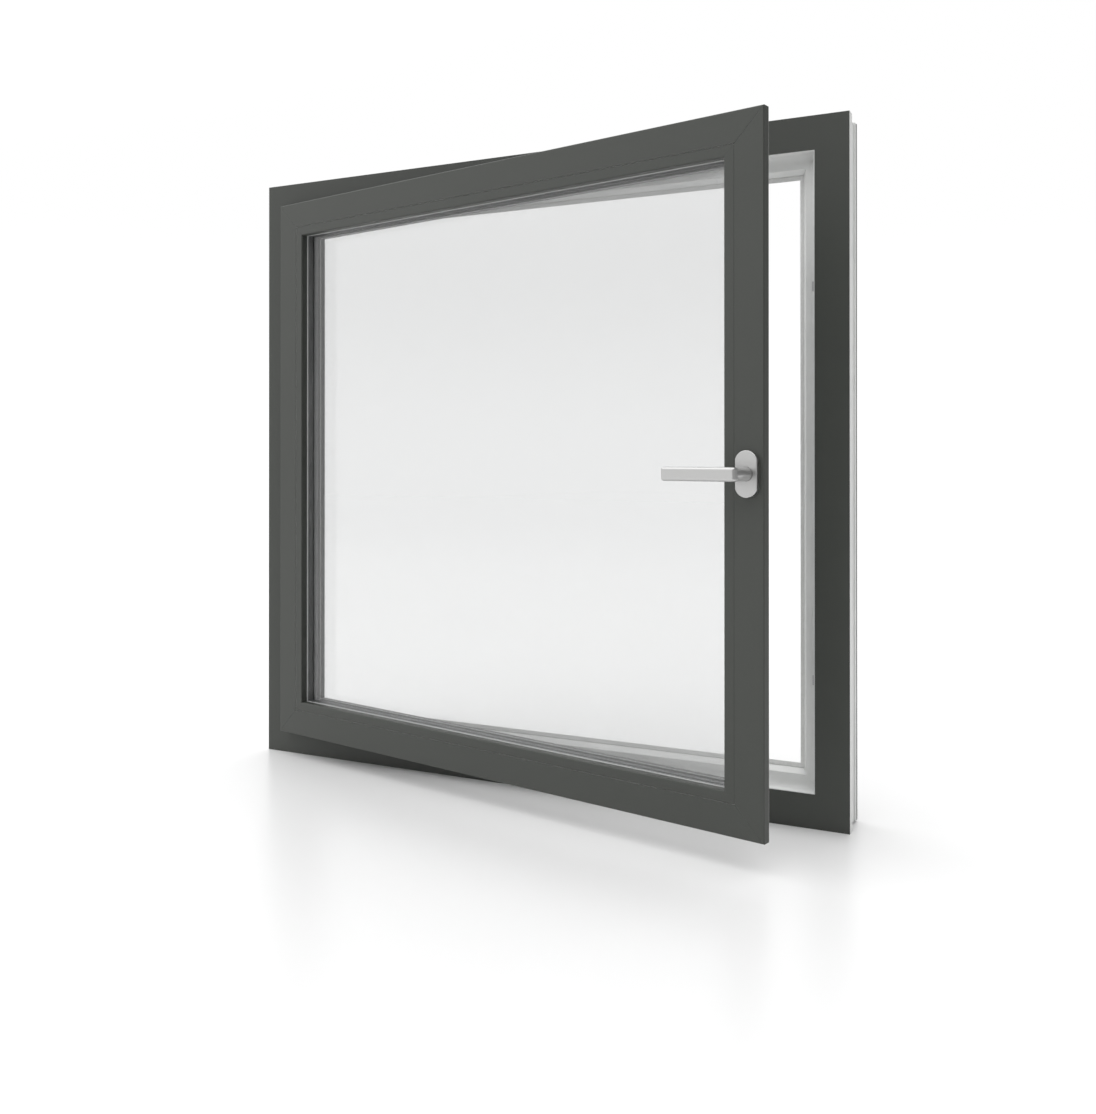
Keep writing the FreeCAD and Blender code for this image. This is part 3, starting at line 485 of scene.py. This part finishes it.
class Workshop:
    """Makes pieces with mesh operators, dresses nodes and sets each piece on its body."""

    def __init__(self, finishes: Finishes) -> None:
        """Keep the finishes that the pieces share."""
        self.finishes = finishes
        self.sash = SashPlace()

    def dress(self, names: Iterable[str], finish: object) -> None:
        """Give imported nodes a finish.

        Args:
            names: the nodes.
            finish: what they get.
        """
        for name in names:
            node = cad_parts[name]
            for index in range(len(node.material_slots)):
                node.material_slots[index].material = self.finishes.of(finish)
            LOG.info("%s: dressed in %s", name, finish.name)

    def mitred_ring(self, mesh: bmesh.types.BMesh, section: Section, soften: float) -> None:
        """Build a closed ring of one section around the sash, with its corners on the mitres.

        The section's points are (inset, depth). Its outline is drawn at one corner, carried round the
        other three, bridged from corner to corner, and its long edges are rounded.

        Args:
            mesh: where it is built.
            section: outline of the profile, in metres.
            soften: radius of its long edges.
        """
        width, height = self.sash.width, self.sash.height
        loops: list[list[bmesh.types.BMEdge]] = []
        for right, top in ((False, False), (True, False), (True, True), (False, True)):
            outline = []
            for inset, depth in section:
                x = width - inset if right else inset
                z = height - inset if top else inset
                outline.append(mesh.verts.new((x, depth, z)))
            loops.append([mesh.edges.new((a, b)) for a, b in zip(outline, outline[1:] + outline[:1])])
        for first, second in zip(loops, loops[1:] + loops[:1]):
            bmesh.ops.bridge_loops(mesh, edges=first + second)
        along = [edge for edge in mesh.edges if edge.calc_length() > self.sash.width / 2.0]
        bmesh.ops.bevel(mesh, geom=along, offset=soften, segments=3, profile=0.5, affect="EDGES", material=-1)
        bmesh.ops.recalc_face_normals(mesh, faces=mesh.faces)

    def finish_piece(
        self, mesh: bmesh.types.BMesh, name: str, body: Body, finish: object, slot: Slot,
        nodes: Iterable[str],
    ) -> bpy.types.Object:
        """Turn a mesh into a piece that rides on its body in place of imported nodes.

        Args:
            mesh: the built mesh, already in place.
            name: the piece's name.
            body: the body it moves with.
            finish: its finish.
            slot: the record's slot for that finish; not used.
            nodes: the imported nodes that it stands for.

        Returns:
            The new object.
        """
        data = bpy.data.meshes.new(name)
        mesh.to_mesh(data)
        mesh.free()
        data.set_sharp_from_angle(angle=math.radians(40.0))
        piece = bpy.data.objects.new(name, data)
        bpy.context.scene.collection.objects.link(piece)
        data.materials.append(self.finishes.of(finish))
        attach(piece, body.value)
        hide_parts(*nodes)
        LOG.info("%s: %d faces on %s", name, len(data.polygons), body.value)
        return piece


# ---- Sub-assemblies -------------------------------------------------------------------------------
@dataclass
class OuterFrame:
    """The fixed frame: white hollow profiles with dark foil in front and dark cladding outside."""

    shop: Workshop
    members: tuple[str, ...] = ("frame_sill", "frame_lock_jamb", "frame_head", "frame_hinge_jamb")

    def dress(self) -> None:
        """Give every node of the frame its finish."""
        finishes = self.shop.finishes
        self.shop.dress(self.members, finishes.white)
        self.shop.dress(["frame_decor_foil"], finishes.foil)
        self.shop.dress(["frame_cladding", "drain_caps"], finishes.clad)
        # The frame seal takes the paler copy of the gasket rubber: painted light.
        self.shop.dress(["frame_seal"], finishes.lit_seal)
        self.shop.dress(["frame_reinforcements"], finishes.galvanised)


@dataclass
class Sash:
    """The opening sash: white hollow profiles wrapped in dark foil, with mitred glazing beads."""

    shop: Workshop
    members: tuple[str, ...] = ("sash_bottom_rail", "sash_lock_stile", "sash_top_rail", "sash_hinge_stile")
    beads: tuple[str, ...] = (
        "glazing_bead_bottom", "glazing_bead_lock_side", "glazing_bead_top", "glazing_bead_hinge_side",
    )

    def dress(self) -> None:
        """Give every node of the sash its finish."""
        finishes = self.shop.finishes
        self.shop.dress(self.members, finishes.white)
        self.shop.dress(["sash_decor_foil"], finishes.foil)
        self.shop.dress(self.beads, finishes.bead)
        self.shop.dress(["sash_cladding"], finishes.clad)
        self.shop.dress(["overlap_seal"], finishes.seal)
        self.shop.dress(["sash_reinforcements"], finishes.galvanised)


@dataclass
class GlassUnit:
    """Triple glazing with its spacers, sealant, packers and the gaskets that hold it."""

    shop: Workshop
    sight: float = 0.0672
    bead_back: float = 0.0146
    glass_front: float = 0.018
    glass_back: float = 0.054
    rebate_back: float = 0.057
    bead_foot: float = 0.060
    rebate_foot: float = 0.058
    lip: float = 0.0016
    lean: float = 0.0004
    soften: float = 0.0004

    def build(self) -> None:
        """Build the two glazing gaskets, each with a lip that leans onto the glass."""
        front, back = self.bead_back, self.glass_front
        inner = [
            (self.bead_foot, front), (self.sight, front), (self.sight + self.lean, front + self.lip),
            (self.sight - self.lean, back), (self.bead_foot, back),
        ]
        self.gasket("bead_gasket", inner, "bead_seal")
        front, back = self.glass_back, self.rebate_back
        outer = [
            (self.rebate_foot, front), (self.sight - self.lean, front),
            (self.sight + self.lean, back - self.lip), (self.sight, back), (self.rebate_foot, back),
        ]
        self.gasket("outer_gasket", outer, "outer_glazing_seal")

    def gasket(self, name: str, section: Section, node: str) -> None:
        """Build one gasket ring in place of a packed one.

        Args:
            name: the piece's name.
            section: its outline as (inset, depth).
            node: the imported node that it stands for.
        """
        mesh = bmesh.new()
        self.shop.mitred_ring(mesh, section, self.soften)
        bmesh.ops.transform(mesh, matrix=self.shop.sash.matrix(), verts=mesh.verts)
        self.shop.finish_piece(mesh, name, Body.SASH, self.shop.finishes.seal, Slot.LIGHT_SEAL, [node])

    def dress(self) -> None:
        """Give the unit's nodes their finishes."""
        finishes = self.shop.finishes
        self.shop.dress(["inner_pane", "middle_pane", "outer_pane"], finishes.glass)
        self.shop.dress(["inner_spacer_bars", "outer_spacer_bars"], finishes.spacer)
        self.shop.dress(["edge_sealant"], finishes.sealant)
        self.shop.dress(["glazing_blocks"], finishes.packer)


@dataclass
class Handle:
    """The lever with its rosette, spindle and pinion."""

    shop: Workshop

    def dress(self) -> None:
        """Give the handle's nodes their finishes."""
        finishes = self.shop.finishes
        self.shop.dress(["handle_lever", "rosette_cover"], finishes.satin)
        self.shop.dress(["rosette_base"], finishes.base)
        self.shop.dress(["handle_spindle", "drive_pinion"], finishes.gear)


@dataclass
class Hardware:
    """Hinges, locking gear, keeps and screws."""

    shop: Workshop
    plated: tuple[str, ...] = (
        "keeps", "lower_hinge_bracket", "upper_hinge_bracket", "hinge_pins", "lower_sash_hinge",
        "upper_sash_hinge", "lock_side_faceplate", "top_faceplate", "bottom_faceplate", "corner_drives",
        "gearbox_case", "gearbox_cover", "lock_side_drive_rod", "top_drive_rod", "bottom_drive_rod",
        "lock_side_cams", "top_cams", "bottom_cams",
    )
    screws: tuple[str, ...] = (
        "keep_screws", "hinge_bracket_screws", "sash_hinge_screws", "faceplate_screws", "rosette_screws",
    )

    def dress(self) -> None:
        """Give every metal fitting its finish."""
        self.shop.dress(self.plated, self.shop.finishes.gear)
        self.shop.dress(self.screws, self.shop.finishes.screw)


# ---- Studio ---------------------------------------------------------------------------------------
@dataclass
class Air:
    """Light from all round: bright behind and on the hinge side, dim on the lock side, brightest above."""

    horizon: float = 1.09
    wall: float = 1.0
    zenith: float = 2.05
    dim_share: float = 0.7
    dim_side: Colour = (0.93, -0.37, 0.0)
    overhead: Colour = (-0.25, -0.1, 0.963)

    def build(self) -> bpy.types.World:
        """Build the world.

        Returns:
            The new world.
        """
        world = bpy.data.worlds.new("studio_air")
        world.use_nodes = True
        tree = world.node_tree
        tree.nodes["Background"].inputs["Color"].default_value = (1.0, 1.0, 1.0, 1.0)
        glow = tree.nodes["Background"].inputs["Strength"]
        way = tree.nodes.new("ShaderNodeTexCoord").outputs["Generated"]
        split = tree.nodes.new("ShaderNodeSeparateXYZ")
        tree.links.new(way, split.inputs["Vector"])
        walls = self.ramp(tree, split.outputs["Z"], (0.0, 0.2), (self.horizon, self.wall))
        low = tree.nodes.new("ShaderNodeMath")
        low.operation = "MULTIPLY"
        tree.links.new(walls, low.inputs[0])
        tree.links.new(self.dimmed(tree, way), low.inputs[1])
        mix = tree.nodes.new("ShaderNodeMix")
        above = self.share(tree, way, self.overhead)
        tree.links.new(self.ramp(tree, above, (0.35, 0.85), (0.0, 1.0)), mix.inputs["Factor"])
        tree.links.new(low.outputs["Value"], mix.inputs["A"])
        mix.inputs["B"].default_value = self.zenith
        tree.links.new(mix.outputs["Result"], glow)
        return world

    def dimmed(self, tree: bpy.types.NodeTree, way: bpy.types.NodeSocket) -> bpy.types.NodeSocket:
        """How much of the wall's light a level direction keeps.

        Args:
            tree: the nodes it is built in.
            way: unit direction.

        Returns:
            The factor socket.
        """
        side = self.share(tree, way, self.dim_side)
        return self.ramp(tree, side, (-0.18, 0.2), (1.0, 1.0 - self.dim_share))

    def share(
        self, tree: bpy.types.NodeTree, way: bpy.types.NodeSocket, towards: Colour,
    ) -> bpy.types.NodeSocket:
        """Cosine between a direction and a fixed one.

        Args:
            tree: the nodes it is built in.
            way: unit direction.
            towards: the fixed direction.

        Returns:
            The cosine's socket.
        """
        node = tree.nodes.new("ShaderNodeVectorMath")
        node.operation = "DOT_PRODUCT"
        tree.links.new(way, node.inputs[0])
        node.inputs[1].default_value = towards
        return node.outputs["Value"]

    def ramp(
        self, tree: bpy.types.NodeTree, value: bpy.types.NodeSocket,
        span: tuple[float, float], to: tuple[float, float],
    ) -> bpy.types.NodeSocket:
        """Smooth change of one value over a span of another.

        Args:
            tree: the nodes it is built in.
            value: what the change follows.
            span: where it starts and ends.
            to: results at its start and end.

        Returns:
            The result socket.
        """
        node = tree.nodes.new("ShaderNodeMapRange")
        node.interpolation_type = "SMOOTHSTEP"
        node.inputs["From Min"].default_value, node.inputs["From Max"].default_value = span
        node.inputs["To Min"].default_value, node.inputs["To Max"].default_value = to
        tree.links.new(value, node.inputs["Value"])
        return node.outputs["Result"]


@dataclass
class Studio:
    """A pale floor without a visible edge, soft light from all round and a camera at the usual angle."""

    air: Air = field(default_factory=Air)
    floor_half: float = 12.0
    floor_shade: float = 0.8
    floor_roughness: float = 0.29
    fade_start: float = 2.5
    fade_end: float = 9.0
    fade_share: float = 0.985
    eye: Vector = field(default_factory=lambda: Vector((0.98572, -1.87951, 0.61681)))
    heading: float = 26.518
    tilt: float = 0.172
    lens: float = 37.35
    shift: float = -0.0970

    def floor(self) -> None:
        """Lay the floor: pale, a little glossy, and fading into the air far from the window."""
        mesh = bmesh.new()
        bmesh.ops.create_grid(mesh, x_segments=2, y_segments=2, size=self.floor_half)
        data = bpy.data.meshes.new("studio_floor")
        mesh.to_mesh(data)
        mesh.free()
        plate = bpy.data.objects.new("studio_floor", data)
        bpy.context.scene.collection.objects.link(plate)
        bench = NodeBench("pale_floor")
        bench.surface.inputs["Base Color"].default_value = (*[self.floor_shade] * 3, 1.0)
        bench.surface.inputs["Roughness"].default_value = self.floor_roughness
        reach = bench.add("ShaderNodeVectorMath", operation="LENGTH")
        bench.tree.links.new(bench.place, reach.inputs[0])
        far = bench.add("ShaderNodeMapRange", interpolation_type="SMOOTHSTEP")
        far.inputs["From Min"].default_value = self.fade_start
        far.inputs["From Max"].default_value = self.fade_end
        bench.join(reach, "Value", far, "Value")
        far.inputs["To Max"].default_value = self.fade_share
        outwards = bench.add("ShaderNodeVectorMath", operation="NORMALIZE")
        bench.tree.links.new(bench.place, outwards.inputs[0])
        strength = bench.add("ShaderNodeMath", operation="MULTIPLY")
        bench.tree.links.new(self.air.dimmed(bench.tree, outwards.outputs["Vector"]), strength.inputs[0])
        strength.inputs[1].default_value = self.air.horizon
        glow = bench.add("ShaderNodeEmission")
        bench.join(strength, "Value", glow, "Strength")
        mix = bench.add("ShaderNodeMixShader")
        bench.join(far, "Result", mix, "Fac")
        bench.tree.links.new(bench.surface.outputs["BSDF"], mix.inputs[1])
        bench.tree.links.new(glow.outputs["Emission"], mix.inputs[2])
        bench.join(mix, "Shader", bench.output, "Surface")
        data.materials.append(bench.material)

    def camera(self) -> None:
        """Stand the camera on the room side, to the right, at mid height."""
        data = bpy.data.cameras.new("room_side")
        data.sensor_fit = "HORIZONTAL"
        data.sensor_width = 36.0
        data.lens = self.lens
        data.shift_y = self.shift
        camera = bpy.data.objects.new("room_side", data)
        camera.location = self.eye
        camera.rotation_euler = (math.radians(90.0 + self.tilt), 0.0, math.radians(self.heading))
        bpy.context.scene.collection.objects.link(camera)
        bpy.context.scene.camera = camera

    def build(self) -> None:
        """Set up the floor, the air, the camera and the plain view transform."""
        self.floor()
        bpy.context.scene.world = self.air.build()
        self.camera()
        bpy.context.scene.view_settings.view_transform = "Standard"
        LOG.info("studio: floor, air and camera set")


def main() -> None:
    """Build and dress the sub-assemblies in order, then set up the studio."""
    logging.basicConfig(level=logging.INFO, format="%(message)s")
    shop = Workshop(Finishes())
    OuterFrame(shop).dress()
    Sash(shop).dress()
    glazing = GlassUnit(shop)
    glazing.build()
    glazing.dress()
    Handle(shop).dress()
    Hardware(shop).dress()
    Studio().build()


if __name__ == "__main__":
    main()
